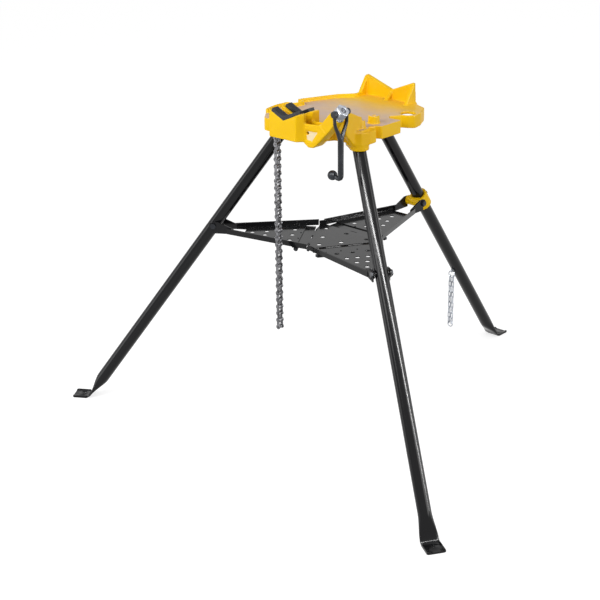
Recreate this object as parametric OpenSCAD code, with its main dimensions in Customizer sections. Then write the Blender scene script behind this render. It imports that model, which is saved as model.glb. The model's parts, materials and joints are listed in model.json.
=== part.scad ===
/* [Stand] */
// Height of the casting's raised rim above the floor
rim_z = 860; // [859:0.5:861]
// Distance of each leg's axis from the centre line at floor level
foot_r = 721; // [719:1:723]
// Height of the three leg pivots
pivot_z = 812; // [811:0.5:813]
// Distance of each leg pivot from the centre line
pivot_r = 142; // [141:0.5:143]
// Angle between each front leg and the jaw side of the stand
front_leg_a = 57.6; // [57.2:0.1:58]

/* [Legs] */
// Outer diameter of the leg tube
tube_d = 33.7; // [33:0.1:34]
// Wall thickness of the leg tube
tube_wall = 2.6; // [2:0.2:3.2]
// Width of the flattened foot
foot_w = 47; // [44:1:49]
// Length of the flattened foot beyond the bend
foot_len = 44; // [41:1:48]
// Thickness of the flattened foot
foot_t = 5; // [4:0.5:6]
// Diameter of the hole in each foot
foot_hole_d = 8; // [6:0.5:10]

/* [Tray] */
// Height of the underside of the tray sheet
tray_z = 514.5; // [513.5:0.5:515.5]
// Thickness of the tray sheet
sheet_t = 2.5; // [2:0.5:3]
// Height of the rims along the tray arms
tray_rim_h = 15; // [12:1:17]
// Diameter of the drain holes
drain_d = 13; // [10:1:14]

/* [Vise] */
// Width across the two arms of a jaw
jaw_w = 80; // [76:1:84]
// Thickness of a jaw bar
jaw_t = 9; // [8:0.5:11]
// Width of the chain's slot between the jaws
slot_w = 22; // [20:1:23]
// Slope of the chain screw above the horizontal
screw_a = 47.3; // [46.8:0.1:47.8]
// Diameter of the chain screw
screw_d = 16; // [15:0.5:16.5]
// Pitch of the vise chain
pitch = 19.05; // [19:0.05:19.1]
// Number of free links that hang below the casting
free_links = 28; // [20:2:28]

/* [Hidden] */
$fn = 48;
fit = 0.05;

black = [0.09, 0.09, 0.09];
yellow = [0.98, 0.77, 0.08];
dark_steel = [0.16, 0.16, 0.17];
zinc = [0.72, 0.73, 0.75];
chain_steel = [0.55, 0.55, 0.56];

// Directions of the legs, counter-clockwise from +X
right_a = front_leg_a - 90;
left_a = 270 - front_leg_a;
rear_a = 90;
leg_angles = [right_a, left_a, rear_a];
spread = foot_r - pivot_r;
lean_a = atan(spread / pivot_z);
leg_len = pivot_z / cos(lean_a);
tip_r = foot_r + foot_len;
foot_corner = 4;
foot_hole_out = 15;
flare_len = 75;
leg_top = 12;

// The centre line is moved so that the origin lies under the middle of the stand
front_reach = (tip_r - foot_corner) * cos(front_leg_a)
    + (foot_w / 2 - foot_corner) * sin(front_leg_a) + foot_corner;
mid_y = (tip_r - front_reach) / 2;

// Casting
floor_z = rim_z - 10;
floor_t = 7;
under_z = floor_z - floor_t;
skirt_z = rim_z - 43;
wall = 7;
socket_r = 155.5;
socket_z = rim_z - 64;
socket_in = 20.4;
socket_out = 24.5;
ear_in = 17.4;
ear_from = 118;
pin_r = 5;
pin_head_r = 8;
ring_out = 34;
ring_in = 26;
ring_h = 18;
lug_hole = [134, 105];
lug_hole_r = 19;
// Posts: x, y, radius at the foot and at the top
posts = [[131, -81, 20, 12], [127, -23, 17, 14]];
post_top = rim_z + 10;
post_hole_r = 4;
post_face_r = 8;
// Thick pad of the skirt over the right front socket
pad = [[118, -118], [136, -114], [152, -100], [160, -76], [158, -50], [140, -40], [110, -60]];
pad_z = rim_z - 49;

// Outline of the casting seen from above, clockwise: x, y and corner radius
outline = [
    [-56, -160, 4], [-116, -164, 22], [-152, -118, 30], [-160, -75, 20], [-156, -34, 6],
    [-134, -32, 6], [-130, -4, 6], [-156, 4, 6], [-111, 113, 30], [-80, 150, 20],
    [-84, 206, 6], [84, 206, 6], [94, 193, 10], [132, 176, 16], [157, 128, 22],
    [163, 99, 9], [149, 87, 5], [133, 81, 5], [117, 52, 6], [128, 38, 6], [164, 43, 6],
    [163, -34, 5], [147, -42, 5], [141, -57, 4], [150, -72, 6],
    [152, -98, 14], [119, -118, 10], [84, -120, 6], [60, -159, 6]
];
// The raised rim runs along the far edge only, between these limits of x and y
rim_from = [-200, -125];
rim_to = [-70, 195];

// Rear pipe rest
rest_y = [191, 203];
rest_top = rim_z + 43;
rest_v = [8, rim_z + 15];
rest_half = 84;
rest_rib_w = 10;
rest_rib_y = 160;

// Jaws and their seats
chain_y = -177;
slot_y = [chain_y - slot_w / 2, chain_y + slot_w / 2];
front_y = -211;
rear_cheek_y = -139;
cheek_x = [-54, 50];
cheek_z = rim_z - 37;
jaw_x = -5.6;
seat_v = rim_z + 11;
seat_w = 60;
jaw_half = jaw_w / 2;
jaw_slope = atan(0.46);
jaw_depth = 21;
tooth = 4;
tooth_h = 1.2;
jaw_y = [front_y, slot_y[1] + 6];
jaw_screw_r = 4;
jaw_head_r = 6.5;
jaw_head_z = cheek_z + 35;

// Plane of the chain: screw, nut and arm, as x and z
nut_at = [151.5, rim_z + 50];
s_dir = [cos(screw_a), sin(screw_a)];
eye_back = 90.5;
seat_at = along(nut_at, -15);
eye_at = along(nut_at, -eye_back);
arm_half = 14.5;
arm_y = 16;
trough_y = 18;
pocket = [[52, rim_z - 5], [97, rim_z - 3], [74, rim_z - 34], [54, rim_z - 31]];
pocket_depth = 2.2;
nut_half = 12;
nut_flats = 30;
trunnion_r = 5;
trunnion_in = 11;
fork_in = 19.5;
fork_t = 5.5;
fork_x = 5;
fork_eye_r = 9;
shank_r = 8;
// The fork seen along X, as y and z from the nut's centre
fork_profile = [
    [-fork_in - fork_t, 0], [-fork_in - fork_t, -30], [-shank_r, -65], [-shank_r, -74],
    [shank_r, -74], [shank_r, -65], [fork_in + fork_t, -30], [fork_in + fork_t, 0],
    [fork_in, 0], [fork_in, -28], [0, -54], [-fork_in, -28], [-fork_in, 0]
];
crank_drop = 160;
ball_at = [nut_at[0] - 26.5, nut_at[1] - crank_drop];
ball_r = 12.3;

// Vise chain: half heights, and faces at these distances from the chain's plane
plate_r = 6.5;
plate_waist = 8;
inner_y = 3.6;
plate_t = 2;
outer_y = 5.8;
rivet_r = 2.5;
rivet_half = 8.2;
roller_r = 4.6;
run_links = 8;
run_pts = [for (k = [0:run_links - 1]) eye_at - [pitch * k, 0]];
nose_at = [-42, rim_z - 33.5];
nose_r = 9.5;
drop_a = 36.3;
hang_at = run_pts[run_links - 1] - pitch * [cos(drop_a), sin(drop_a)];
all_run = concat(run_pts, [hang_at]);
hang_pts = [for (k = [0:free_links]) hang_at - [0, pitch * k]];

// Tray: three equal arms hinged around a hub whose middle lies at y = hub_y
hub_y = -16;
hinge_d = 63;
hinge_z = tray_z - 6;
// A front arm's bolt lies on the leg's axis, the rear arm's on the collar's inner side
bolt_z = tray_z + 20.5;
bolt_r = foot_r - bolt_z * spread / pivot_z;
arm_len = bolt_r - hinge_of(right_a);
knuckle_r = 6;
hinge_pin_r = 4;
hinge_pin_half = 86;
hub_edge = hinge_d - 1.5;
hub_cut = 112;
hub_drain = 38;
arm_start = 1.5;
sheet_start = 32;
arm_root_half = 99;
arm_end = arm_len - 37;
prong_start = arm_end - 18;
prong_in = 19.5;
prong_t = 3.5;
prong_r = 11;
notch_len = 82;
rear_prong_in = 25.6;
rear_notch_len = 60;
drain_rows = [[57, [-41.5, 0, 41.5]], [95, [-28, 0, 28]], [129, [-14, 14]], [166, [0]]];
leaf_start = 6;
leaf_end = 43;
leaf_rod_x = 33;
leaf_half = 84;
rivet_x = 37;
rivet_ys = [-62, -22, 22, 62];
arm_bolt_r = 5;
sleeve_r = 7;
sleeve_in = 5.2;
sleeve_half = 18.4;
collar_r = 24;
collar_len = 42;
boss_r = 13;
boss_half = 25.2;
set_bolt_r = 3;

// Transport chain on the rear leg
eye_z = 276;
eye_r = foot_r - eye_z * spread / pivot_z - 27.2;
wire_r = 1.5;
ring_wire = 1.4;
ring_r = 10;
end_ring_r = 8;
link_len = 22.8;
link_w = 9.5;
link_step = link_len - 4 * wire_r - 0.3;
strand_y = 5;
strand_links = 9;
hook = ring_wire + wire_r + 1.7;
strand_top = hook - ring_r - sqrt(ring_r * ring_r - strand_y * strand_y);
strand_end = strand_top - (strand_links - 1) * link_step - link_len + 2 * wire_r;

// A point a distance d up the screw's axis from p
function along(p, d) = p + d * s_dir;
// A point a distance d across the screw's axis from p, towards its upper side
function across(p, d) = p + d * [-s_dir[1], s_dir[0]];
function unit(v) = v / norm(v);
function flat(p) = [p[0], p[1]];

// Corner i of a list of x, y and radius, as points on its arc
function corner(pts, i) =
    let (
        n = len(pts),
        p = flat(pts[i]),
        u = unit(flat(pts[(i + n - 1) % n]) - p),
        v = unit(flat(pts[(i + 1) % n]) - p),
        half = acos(u * v) / 2,
        r = pts[i][2],
        c = p + unit(u + v) * r / sin(half),
        from = p + u * r / tan(half) - c,
        to = p + v * r / tan(half) - c,
        a0 = atan2(from[1], from[0]),
        sweep = (atan2(to[1], to[0]) - a0 + 540) % 360 - 180,
        steps = r > 12 ? 8 : 4
    )
    [for (k = [0:steps]) c + r * [cos(a0 + sweep * k / steps), sin(a0 + sweep * k / steps)]];
function rounded(pts) = [for (i = [0:len(pts) - 1]) each corner(pts, i)];

// A clockwise outline moved inwards by d
function inset(pts, d) =
    [for (i = [0:len(pts) - 1])
        let (
            n = len(pts),
            e1 = unit(flat(pts[i]) - flat(pts[(i + n - 1) % n])),
            e2 = unit(flat(pts[(i + 1) % n]) - flat(pts[i])),
            n1 = [e1[1], -e1[0]],
            n2 = [e2[1], -e2[0]],
            p = flat(pts[i]) + (n1 + n2) * d / (1 + n1 * n2),
            convex = e1[0] * e2[1] - e1[1] * e2[0] < 0
        )
        [p[0], p[1], convex ? max(pts[i][2] - d, 1) : pts[i][2] + d]];

// Distance of a tray arm's hinge from the stand's centre line, along its leg's direction
function hinge_of(a) = hinge_d + hub_y * sin(a);
// Sideways shift of an arm's root, so that the arm points away from the hub's middle
function shift_of(a) = hub_y * cos(a) * arm_len / (arm_len + hinge_d);

// Corner of the hub's triangle between two leg directions, at edge distance d
function hub_corner(a, b, d) =
    let (m = (a + b) / 2)
    d / cos((a - b) / 2) * [cos(m), sin(m)];

// Corners of a triangle whose edges lie square to the legs, d from its middle
function hub_points(d) = [
    hub_corner(right_a, rear_a, d), hub_corner(rear_a, left_a, d),
    hub_corner(left_a, right_a + 360, d)
];

module placed() {
    translate([0, -mid_y, 0]) children();
}

// A profile of x and z, extruded between two values of y
module slab(profile, y0, y1) {
    translate([0, y1, 0])
        rotate([90, 0, 0])
            linear_extrude(y1 - y0) polygon(profile);
}

// A cylinder along Y through x and z
module y_rod(x, z, r, y0, y1) {
    translate([x, y0, z])
        rotate([-90, 0, 0]) cylinder(r = r, h = y1 - y0);
}

// Frame on the screw's axis at p, with +Z up the screw
module on_screw(p) {
    translate([p[0], chain_y, p[1]])
        rotate([0, 90 - screw_a, 0]) children();
}

// ---- base casting ----

module plate_and_skirt() {
    difference() {
        translate([0, 0, skirt_z])
            linear_extrude(floor_z - skirt_z) polygon(rounded(outline));
        translate([0, 0, skirt_z - 1])
            linear_extrude(under_z - skirt_z + 1) polygon(rounded(inset(outline, wall)));
    }
}

module raised_rim() {
    size = rim_to - rim_from;
    intersection() {
        difference() {
            translate([0, 0, floor_z - 1])
                linear_extrude(rim_z - floor_z + 1) polygon(rounded(outline));
            translate([0, 0, floor_z - 2])
                linear_extrude(rim_z - floor_z + 3) polygon(rounded(inset(outline, wall)));
        }
        translate([rim_from[0], rim_from[1], floor_z - 2])
            cube([size[0], size[1], rim_z - floor_z + 3]);
    }
}

module rest_rib(x, y, top) {
    translate([x, 0, 0])
        rotate([90, 0, 90])
            linear_extrude(rest_rib_w)
                polygon([[y, floor_z - 1], [rest_y[0] + 1, floor_z - 1], [rest_y[0] + 4, top]]);
}

module pipe_rest() {
    slab([
        [-rest_half, floor_z - 5], [rest_half, floor_z - 5],
        [rest_half - 4, rest_top - 1], [rest_half - 8, rest_top], rest_v,
        [8 - rest_half, rest_top], [4 - rest_half, rest_top - 1]
    ], rest_y[0], rest_y[1]);
    rest_rib(-rest_half, rest_rib_y, rest_top - 2);
    rest_rib(rest_half - rest_rib_w, rest_rib_y, rest_top - 2);
    rest_rib(rest_v[0] - rest_rib_w / 2, rest_rib_y + 5, rest_v[1] - 3);
}

// Room above the V in which the jaws lie
module cheek_cut() {
    rise = seat_w * tan(jaw_slope);
    translate([jaw_x, 0, seat_v])
        slab([[0, 0], [seat_w, rise], [seat_w, seat_w], [-seat_w, seat_w], [-seat_w, rise]],
            front_y - 1, rear_cheek_y + 1);
}

module cheeks() {
    top = seat_v + 22;
    difference() {
        union() {
            translate([0, 0, cheek_z])
                linear_extrude(top - cheek_z)
                    polygon([[cheek_x[0], front_y], [cheek_x[1] - 14, front_y],
                        [cheek_x[1], front_y + 15], [cheek_x[1], slot_y[0]],
                        [cheek_x[0], slot_y[0]]]);
            translate([cheek_x[0], slot_y[1], cheek_z])
                cube([cheek_x[1] - cheek_x[0], rear_cheek_y - slot_y[1], top - cheek_z]);
        }
        cheek_cut();
    }
}

module chain_web() {
    slab([[nose_at[0], rim_z - 33], [55, rim_z - 33], [55, rim_z - 24], [nose_at[0], rim_z - 24]],
        slot_y[0] - 1, slot_y[1] + 1);
    y_rod(nose_at[0], nose_at[1], nose_r, slot_y[0] - 1, slot_y[1] + 1);
}

module screw_arm() {
    upper_back = across(along(seat_at, -49), arm_half);
    lower_back = across(along(seat_at, -49), -arm_half);
    slab([upper_back, across(seat_at, arm_half), across(seat_at, -arm_half), lower_back],
        chain_y - arm_y, chain_y + arm_y);
    slab([
        [48, rim_z - 40], [48, rim_z + 9], upper_back, lower_back, [95, rim_z - 32],
        [78, rim_z - 47], [62, rim_z - 49]
    ], chain_y - trough_y, chain_y + trough_y);
}

module trough_room() {
    slab([
        [40, rim_z + 40], [40, rim_z - 24], [60, rim_z - 40], [79, rim_z - 39],
        [103, rim_z - 15], [89, rim_z + 5], [82, rim_z + 40]
    ], slot_y[0], slot_y[1]);
}

// Wall that ties the arm to the first post, relieved where the crank's fork turns
module gusset() {
    for (part = [[126, 140, -143, -84], [120, 132, -167, -142]])
        intersection() {
            translate([part[0], 0, 0])
                rotate([90, 0, 90])
                    linear_extrude(part[1] - part[0])
                        polygon([
                            [-167, rim_z + 42], [-121, rim_z + 36], [-110, rim_z + 31],
                            [-101, rim_z + 26], [-84, rim_z + 19], [-84, skirt_z],
                            [-117, skirt_z], [-150, rim_z - 8], [-167, rim_z + 6]
                        ]);
            translate([100, part[2], skirt_z - 1])
                cube([50, part[3] - part[2], 100]);
        }
}

module leg_socket() {
    intersection() {
        translate([socket_r, 0, socket_z])
            cylinder(r = socket_out, h = under_z - socket_z + 1);
        translate([socket_r - 10, -40, socket_z])
            cube([60, 80, under_z - socket_z + 1]);
    }
    for (side = [-1, 1])
        translate([ear_from, side > 0 ? ear_in : -socket_out, socket_z + 2])
            cube([socket_r - ear_from, socket_out - ear_in, under_z - socket_z - 1]);
    translate([30, -4, under_z - ring_h]) cube([84, 8, ring_h + 1]);
}

// Room in which the top of a leg stands and swings, with its pin, head and clip
module socket_room() {
    translate([socket_r, 0, socket_z - 1])
        cylinder(r = socket_in, h = under_z - socket_z + 1);
    translate([ear_from - 6, -ear_in, socket_z - 1])
        cube([socket_r - ear_from + 6, 2 * ear_in, under_z - socket_z + 1]);
    y_rod(pivot_r, pivot_z, pin_r + fit, -socket_out - 8, socket_out + 8);
    y_rod(pivot_r, pivot_z, pin_head_r + 1, socket_out, socket_out + 16);
    y_rod(pivot_r, pivot_z, pin_head_r + 1.5, -socket_out - 8, -socket_out);
}

module base_casting() {
    color(yellow)
        placed()
            difference() {
                union() {
                    plate_and_skirt();
                    raised_rim();
                    pipe_rest();
                    cheeks();
                    chain_web();
                    screw_arm();
                    gusset();
                    translate([0, 0, pad_z])
                        linear_extrude(under_z - pad_z + 1) polygon(pad);
                    for (p = posts)
                        translate([p[0], p[1], skirt_z])
                            cylinder(r1 = p[2], r2 = p[3], h = post_top - skirt_z);
                    translate([0, 0, under_z - ring_h])
                        cylinder(r = ring_out, h = ring_h + 1);
                    for (a = leg_angles)
                        rotate([0, 0, a]) leg_socket();
                }
                translate([0, 0, under_z - ring_h - 1])
                    cylinder(r = ring_in, h = ring_h + 1);
                for (a = leg_angles)
                    rotate([0, 0, a]) socket_room();
                translate([lug_hole[0], lug_hole[1], skirt_z - 1])
                    cylinder(r = lug_hole_r, h = floor_z - skirt_z + 2);
                for (p = posts) {
                    translate([p[0], p[1], post_top - 12])
                        cylinder(r = post_hole_r, h = 13);
                    translate([p[0], p[1], post_top])
                        cylinder(r = post_face_r, h = 40);
                }
                trough_room();
                on_screw(along(eye_at, 4))
                    cylinder(r = screw_d / 2 + 0.6, h = eye_back);
                slab(pocket, chain_y - trough_y - 1, chain_y - trough_y + pocket_depth);
                y_rod(58, rim_z - 13, 3.5, chain_y - trough_y - 1, slot_y[0] + 1);
                for (y = jaw_y)
                    translate([jaw_x, y + jaw_depth / 2, cheek_z - 1]) {
                        cylinder(r = jaw_screw_r + 0.2, h = 60);
                        cylinder(r = jaw_head_r + 0.7, h = jaw_head_z - cheek_z + 1);
                    }
            }
}

// ---- jaws ----

// Points of the toothed edge on one side of the V, from the middle outwards
function teeth(side) =
    let (n = floor((jaw_half / cos(jaw_slope) - 6) / tooth))
    [for (k = [1:n], h = [0, 1])
        let (d = (k + h / 2) * tooth, lift = jaw_t / cos(jaw_slope) - h * tooth_h)
        [side * d * cos(jaw_slope), seat_v + lift + d * sin(jaw_slope)]];

module jaw(y) {
    end = [jaw_half, seat_v + jaw_half * tan(jaw_slope)];
    top = end + jaw_t * [-sin(jaw_slope), cos(jaw_slope)];
    left = teeth(-1);
    color(dark_steel)
        placed()
            translate([jaw_x, 0, 0])
                difference() {
                    slab(concat(
                        [[0, seat_v + jaw_t / cos(jaw_slope)]], teeth(1), [top, end, [0, seat_v]],
                        [[-end[0], end[1]], [-top[0], top[1]]],
                        [for (i = [len(left) - 1:-1:0]) left[i]]
                    ), y, y + jaw_depth);
                    translate([0, y + jaw_depth / 2, seat_v - 1])
                        cylinder(r = jaw_screw_r + fit, h = 8);
                }
}

module front_jaw() {
    jaw(jaw_y[0]);
}

module rear_jaw() {
    jaw(jaw_y[1]);
}

module jaw_screws() {
    color(zinc)
        placed()
            for (y = jaw_y)
                translate([jaw_x, y + jaw_depth / 2, jaw_head_z])
                    difference() {
                        union() {
                            cylinder(r = jaw_screw_r, h = seat_v + 6 - jaw_head_z);
                            translate([0, 0, -8]) cylinder(r = jaw_head_r, h = 8);
                        }
                        translate([0, 0, -9]) cylinder(r = 3.4, h = 5, $fn = 6);
                    }
}

// ---- leg pivots ----

module leg_pivot_pins() {
    color(zinc)
        placed()
            for (a = leg_angles)
                rotate([0, 0, a]) {
                    y_rod(pivot_r, pivot_z, pin_r, -socket_out - 6, socket_out);
                    y_rod(pivot_r, pivot_z, pin_head_r, socket_out, socket_out + 4);
                }
}

module leg_pivot_clips() {
    color(zinc)
        placed()
            for (a = leg_angles)
                rotate([0, 0, a])
                    difference() {
                        y_rod(pivot_r, pivot_z, 8.5, -socket_out - 2.5, -socket_out - 0.5);
                        y_rod(pivot_r, pivot_z, pin_r, -socket_out - 3, -socket_out);
                    }
}

// ---- screw, nut and crank ----

module chain_screw() {
    tip = 6;
    color(chain_steel)
        placed()
            difference() {
                union() {
                    on_screw(along(eye_at, 10))
                        cylinder(d = screw_d, h = eye_back - 10 + tip);
                    intersection() {
                        on_screw(along(eye_at, -8)) cylinder(d = screw_d, h = 19);
                        slab([
                            across(eye_at, 7), across(along(eye_at, 14), 8.5),
                            across(along(eye_at, 14), -8.5), across(eye_at, -7)
                        ], chain_y - inner_y + 0.2, chain_y + inner_y - 0.2);
                    }
                    y_rod(eye_at[0], eye_at[1], 7, chain_y - inner_y + 0.2, chain_y + inner_y - 0.2);
                }
                y_rod(eye_at[0], eye_at[1], rivet_r + fit, chain_y - 10, chain_y + 10);
            }
}

module screw_eye_pin() {
    color(chain_steel) placed() rivet(eye_at);
}

module seat_washer() {
    color(zinc)
        placed()
            on_screw(seat_at)
                difference() {
                    cylinder(r = 17, h = 2.9);
                    translate([0, 0, -1]) cylinder(d = screw_d + 1.2, h = 5);
                }
}

module chain_nut() {
    color(zinc)
        placed()
            on_screw(nut_at)
                difference() {
                    union() {
                        translate([0, 0, -nut_half])
                            cylinder(d = nut_flats / cos(30), h = 2 * nut_half, $fn = 6);
                        rotate([90, 0, 0])
                            translate([0, 0, -fork_in + 1.5])
                                cylinder(r = 10, h = 2 * (fork_in - 1.5));
                    }
                    translate([0, 0, -nut_half - 1])
                        cylinder(d = screw_d + 2 * fit, h = 2 * nut_half + 2);
                    for (side = [-1, 1])
                        rotate([side * 90, 0, 0])
                            translate([0, 0, trunnion_in]) cylinder(r = trunnion_r, h = fork_in);
                }
}

module crank_pivot_pins() {
    color(zinc)
        placed()
            for (side = [-1, 1])
                translate([nut_at[0], chain_y, nut_at[1]])
                    rotate([side * 90, 0, 0]) {
                        translate([0, 0, trunnion_in])
                            cylinder(r = trunnion_r, h = fork_in + fork_t + 0.3 - trunnion_in);
                        translate([0, 0, fork_in + fork_t + 0.3])
                            cylinder(r = 8, h = 2.5);
                    }
}

module crank_handle() {
    color(black)
        placed()
            translate([nut_at[0], chain_y, nut_at[1]])
                difference() {
                    union() {
                        translate([-fork_x, 0, 0])
                            rotate([90, 0, 90])
                                linear_extrude(2 * fork_x) polygon(fork_profile);
                        for (side = [-1, 1])
                            y_rod(0, 0, fork_eye_r, side * (fork_in + fork_t / 2) - fork_t / 2,
                                side * (fork_in + fork_t / 2) + fork_t / 2);
                        translate([0, 0, -crank_drop])
                            cylinder(r = shank_r - 0.5, h = crank_drop - 60);
                        translate([0, 0, -crank_drop]) sphere(r = shank_r - 0.5);
                        translate([0, 0, -crank_drop])
                            rotate([0, -90, 0]) cylinder(r = 6, h = nut_at[0] - ball_at[0] - 9);
                        translate([0, 0, -crank_drop])
                            rotate([0, -90, 0]) cylinder(r = 4, h = nut_at[0] - ball_at[0]);
                    }
                    y_rod(0, 0, trunnion_r + fit, -40, 40);
                }
}

module crank_ball() {
    color(black)
        placed()
            translate([ball_at[0], chain_y, ball_at[1]])
                difference() {
                    sphere(r = ball_r);
                    rotate([0, 90, 0]) cylinder(r = 4, h = 30);
                    translate([9, 0, 0]) rotate([0, 90, 0]) cylinder(r = 6, h = 30);
                }
}

// ---- vise chain ----

// One link's two plates from pin p to pin q, with inner faces y from the middle
module plates(p, q, y) {
    v = q - p;
    for (y0 = [y, -y - plate_t])
        translate([0, chain_y, 0])
            difference() {
                union() {
                    y_rod(p[0], p[1], plate_r, y0, y0 + plate_t);
                    y_rod(q[0], q[1], plate_r, y0, y0 + plate_t);
                    translate([p[0], y0, p[1]])
                        rotate([0, -atan2(v[1], v[0]), 0])
                            translate([0, 0, -plate_waist / 2])
                                cube([norm(v), plate_t, plate_waist]);
                }
                for (c = [p, q])
                    y_rod(c[0], c[1], rivet_r + fit, y0 - 1, y0 + plate_t + 1);
            }
}

module rivet(p) {
    y_rod(p[0], p[1], rivet_r, chain_y - rivet_half, chain_y + rivet_half);
}

module roller(p) {
    difference() {
        y_rod(p[0], p[1], roller_r, chain_y - inner_y + 0.1, chain_y + inner_y - 0.1);
        y_rod(p[0], p[1], rivet_r + fit, chain_y - 5, chain_y + 5);
    }
}

module run_inner_plates() {
    color(chain_steel)
        placed()
            for (k = [0:2:run_links - 2])
                plates(all_run[k], all_run[k + 1], inner_y);
}

module run_outer_plates() {
    color(chain_steel)
        placed()
            for (k = [1:2:run_links - 1])
                plates(all_run[k], all_run[k + 1], outer_y);
}

module run_pins() {
    color(chain_steel)
        placed()
            for (k = [1:run_links])
                rivet(all_run[k]);
}

module run_rollers() {
    color(chain_steel)
        placed()
            for (k = [1:run_links - 1])
                roller(all_run[k]);
}

module chain_inner_plates() {
    color(chain_steel)
        placed()
            for (k = [0:2:free_links - 2])
                plates(hang_pts[k], hang_pts[k + 1], inner_y);
}

module chain_outer_plates() {
    color(chain_steel)
        placed()
            for (k = [1:2:free_links - 1])
                plates(hang_pts[k], hang_pts[k + 1], outer_y);
}

module chain_pins() {
    color(chain_steel)
        placed()
            for (k = [1:free_links])
                rivet(hang_pts[k]);
}

module chain_rollers() {
    color(chain_steel)
        placed()
            for (k = [0:free_links])
                roller(hang_pts[k]);
}

// ---- legs ----

// Frame of a leg: +Z runs down the tube from the pivot
module down_leg() {
    translate([pivot_r, 0, pivot_z])
        rotate([0, 180 - lean_a, 0]) children();
}

// Point on a flattened leg's outline, d up the leg from the floor and out from its axis
function on_leg(d, out) =
    [foot_r - d * sin(lean_a) + out * cos(lean_a), d * cos(lean_a) + out * sin(lean_a)];

// The tube squeezed flat towards the foot
module squeezed_tube(from) {
    hull()
        down_leg() {
            translate([0, 0, from - 1]) cylinder(d = tube_d + 0.4, h = 1, $fn = 32);
            translate([0.1 - foot_t / 2, 0.1 - foot_w / 2, leg_len - 10])
                cube([foot_t - 0.2, foot_w - 0.2, 1]);
        }
}

module foot() {
    bend = foot_r + 6;
    difference() {
        union() {
            slab([
                on_leg(12, -foot_t / 2), on_leg(12, foot_t / 2), on_leg(7, foot_t / 2),
                [bend, foot_t], [bend, 0], [foot_r - 2, 0]
            ], -foot_w / 2, foot_w / 2);
            translate([bend - 1, -foot_w / 2, 0])
                cube([tip_r - foot_corner - bend + 1, foot_w, foot_t]);
            translate([bend - 1, -foot_w / 2 + foot_corner, 0])
                cube([tip_r - bend + 1, foot_w - 2 * foot_corner, foot_t]);
            for (side = [-1, 1])
                translate([tip_r - foot_corner, side * (foot_w / 2 - foot_corner), 0])
                    cylinder(r = foot_corner, h = foot_t);
        }
        translate([foot_r + foot_hole_out, 0, -1])
            cylinder(d = foot_hole_d, h = foot_t + 2);
    }
}

// A leg from its pivot to its foot; what is passed in is cut out of the tube
module leg() {
    flatten_at = leg_len - flare_len;
    difference() {
        down_leg()
            translate([0, 0, -leg_top]) cylinder(d = tube_d, h = flatten_at + leg_top);
        down_leg()
            translate([0, 0, -leg_top - 1])
                cylinder(d = tube_d - 2 * tube_wall, h = flatten_at + leg_top - 2);
        y_rod(pivot_r, pivot_z, pin_r + fit, -40, 40);
        children();
    }
    squeezed_tube(flatten_at);
    foot();
}

module front_leg(a) {
    color(black)
        placed()
            rotate([0, 0, a])
                leg() y_rod(bolt_r, bolt_z, sleeve_r, -40, 40);
}

module right_front_leg() {
    front_leg(right_a);
}

module left_front_leg() {
    front_leg(left_a);
}

module rear_leg() {
    color(black)
        placed()
            rotate([0, 0, rear_a])
                leg()
                    translate([eye_r, 0, eye_z])
                        rotate([0, 90, 0]) cylinder(r = 2, h = 16);
}

module pivot_sleeve(a) {
    color(black)
        placed()
            rotate([0, 0, a])
                difference() {
                    y_rod(bolt_r, bolt_z, sleeve_r, -sleeve_half, sleeve_half);
                    y_rod(bolt_r, bolt_z, sleeve_in, -sleeve_half - 1, sleeve_half + 1);
                }
}

module right_pivot_sleeve() {
    pivot_sleeve(right_a);
}

module left_pivot_sleeve() {
    pivot_sleeve(left_a);
}

module rear_leg_collar() {
    color(yellow)
        placed()
            rotate([0, 0, rear_a])
                difference() {
                    union() {
                        down_leg()
                            translate([0, 0, leg_len - bolt_z / cos(lean_a) - collar_len / 2])
                                cylinder(r = collar_r, h = collar_len);
                        y_rod(hinge_of(rear_a) + arm_len, bolt_z, boss_r, -boss_half, boss_half);
                    }
                    down_leg()
                        translate([0, 0, 100]) cylinder(d = tube_d + 2 * fit, h = 500);
                    on_collar(12) cylinder(r = set_bolt_r, h = 30);
                }
}

// Frame on the rear leg's outer side at its tray pivot, +Z square out of the tube
module on_collar(d) {
    translate([bolt_r, 0, bolt_z])
        rotate([0, 90 - lean_a, 0])
            translate([0, 0, d]) children();
}

module collar_bolt() {
    color(zinc)
        placed()
            rotate([0, 0, rear_a]) {
                on_collar(tube_d / 2 + 0.2) cylinder(r = set_bolt_r, h = collar_r - tube_d / 2);
                on_collar(collar_r) cylinder(r = 6, h = 4.5, $fn = 6);
            }
}

// ---- tray ----

// Frame at the root of a tray arm, with +X along its leg's direction
module at_hinge(a) {
    placed()
        rotate([0, 0, a])
            translate([hinge_of(a), shift_of(a), 0]) children();
}

module hub_cutter(d) {
    rotate([0, 0, 90]) circle(r = 2 * d, $fn = 3);
}

module hub_outline() {
    intersection() {
        polygon(hub_points(hub_edge));
        hub_cutter(hub_cut);
    }
}

module tray_hub() {
    color(black)
        difference() {
            union() {
                placed()
                    translate([0, hub_y, tray_z]) {
                        linear_extrude(sheet_t) hub_outline();
                        linear_extrude(tray_rim_h)
                            difference() {
                                hub_outline();
                                hub_cutter(hub_cut - sheet_t);
                            }
                    }
                for (a = leg_angles, y = [-60, 0, 60])
                    at_hinge(a) hub_knuckle(y);
            }
            placed()
                translate([0, hub_y, tray_z - 1]) {
                    for (p = hub_points(hub_drain))
                        translate([p[0], p[1], 0]) cylinder(d = drain_d, h = sheet_t + 2);
                    for (a = leg_angles)
                        rotate([0, 0, a])
                            translate([hub_drain, 0, 0]) cylinder(d = drain_d, h = sheet_t + 2);
                }
            for (a = leg_angles)
                at_hinge(a) y_rod(0, hinge_z, hinge_pin_r + fit, -120, 120);
        }
}

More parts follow.
